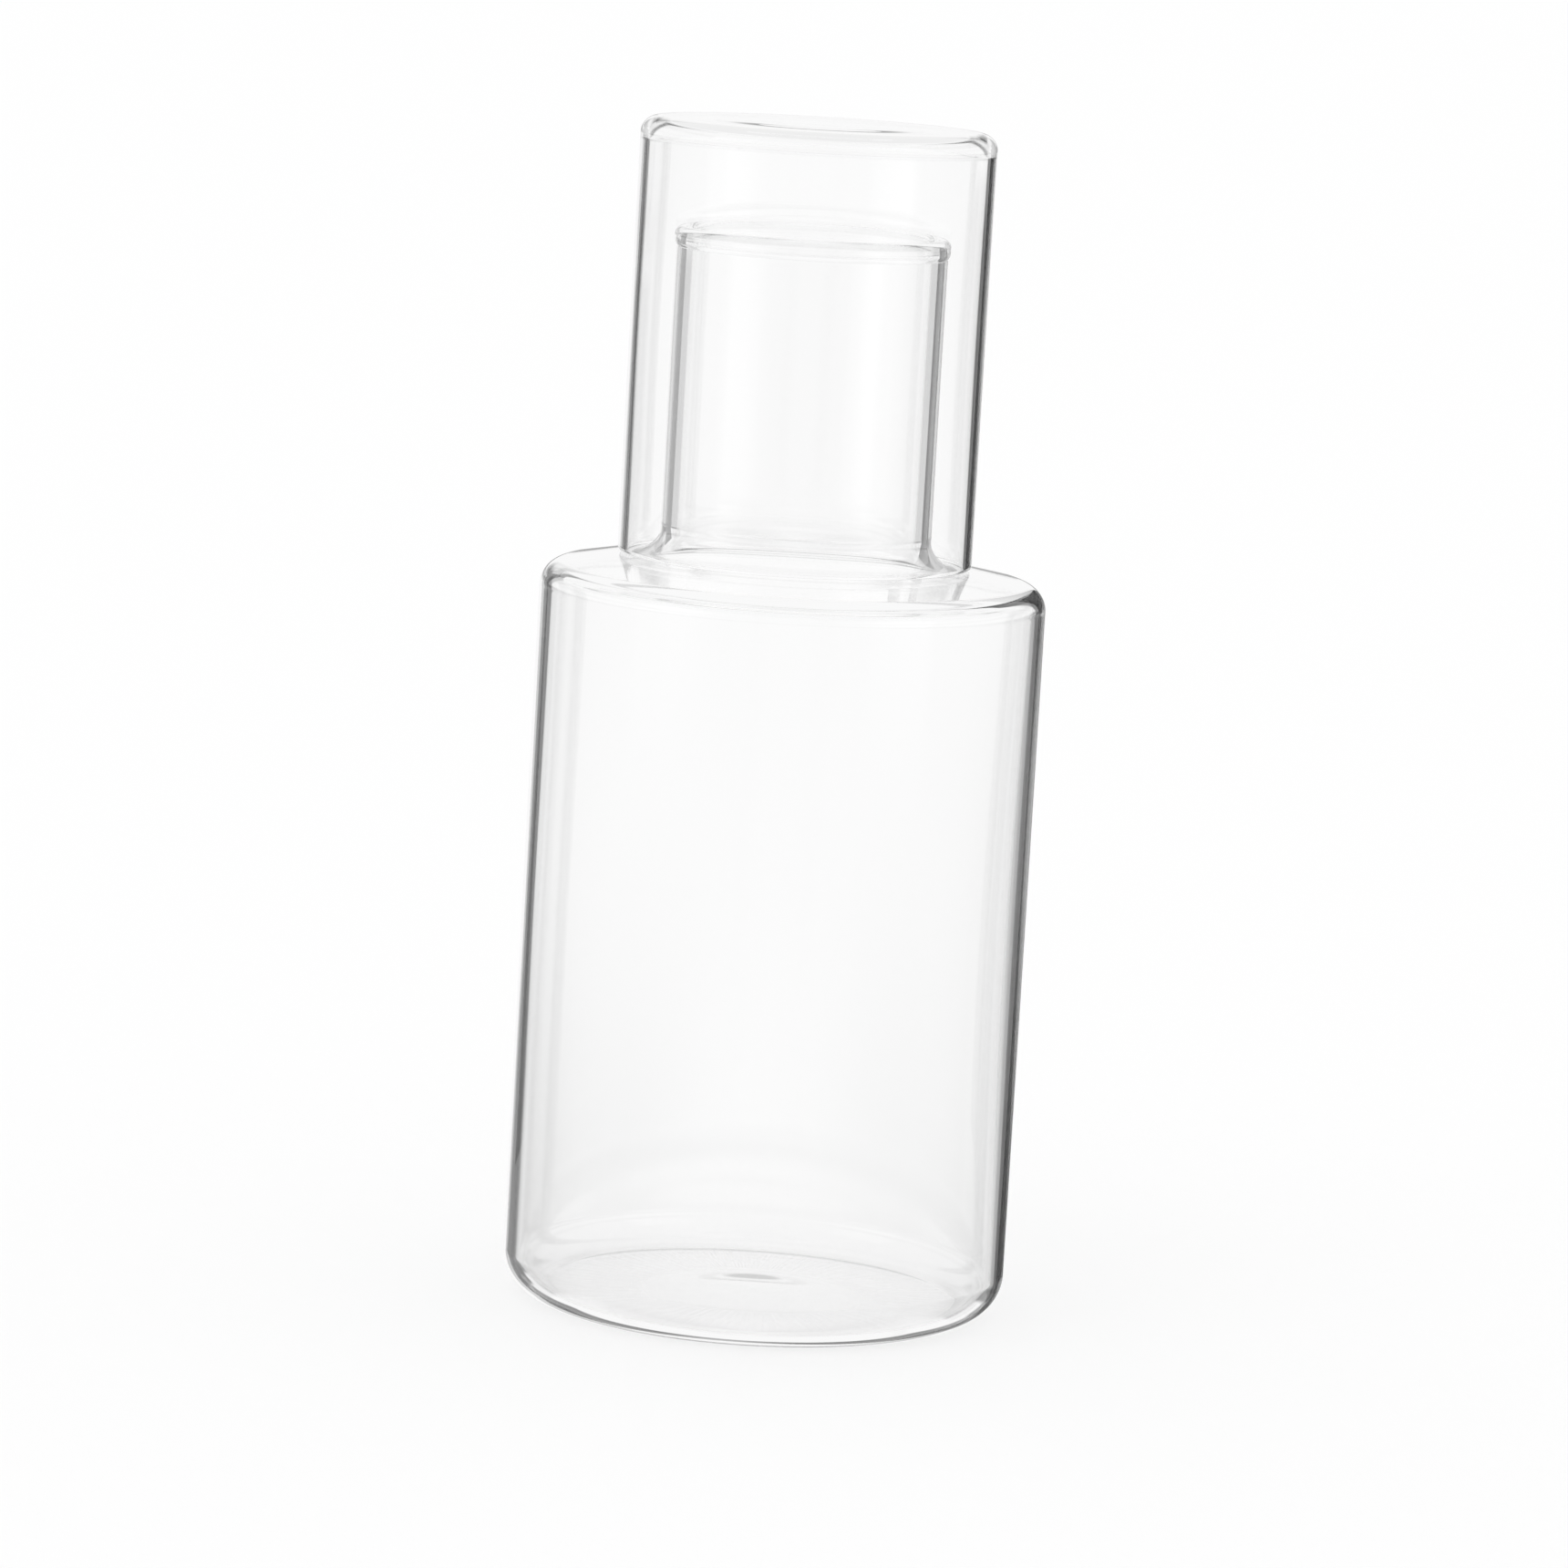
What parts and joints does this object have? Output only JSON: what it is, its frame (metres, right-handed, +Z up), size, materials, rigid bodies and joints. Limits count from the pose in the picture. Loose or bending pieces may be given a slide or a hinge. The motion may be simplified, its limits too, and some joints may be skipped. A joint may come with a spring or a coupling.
{
  "type": "carafe with tumbler",
  "caption": "Clear glass bedside water carafe with a straight body, a low shoulder and a straight neck, under a tumbler that stands upside down over the neck as its cover.",
  "frame": {"origin": "middle of the carafe's foot, on the surface that it stands on", "axes": "+Z up along the common axis of the carafe and the tumbler; X and Y are alike, because both pieces are turned about Z"},
  "size_m": [0.1, 0.1, 0.235],
  "materials": {
    "carafe_glass": "clear fire-polished borosilicate glass",
    "tumbler_glass": "clear fire-polished borosilicate glass"
  },
  "bodies": {
    "carafe": {"carafe": "carafe_glass"},
    "tumbler": {"tumbler": "tumbler_glass"}
  },
  "joints": [
    {"name": "tumbler_lift", "type": "slide", "parent": "carafe", "child": "tumbler", "axis": [0, 0, 1], "range_m": [0, 0.1]}
  ]
}
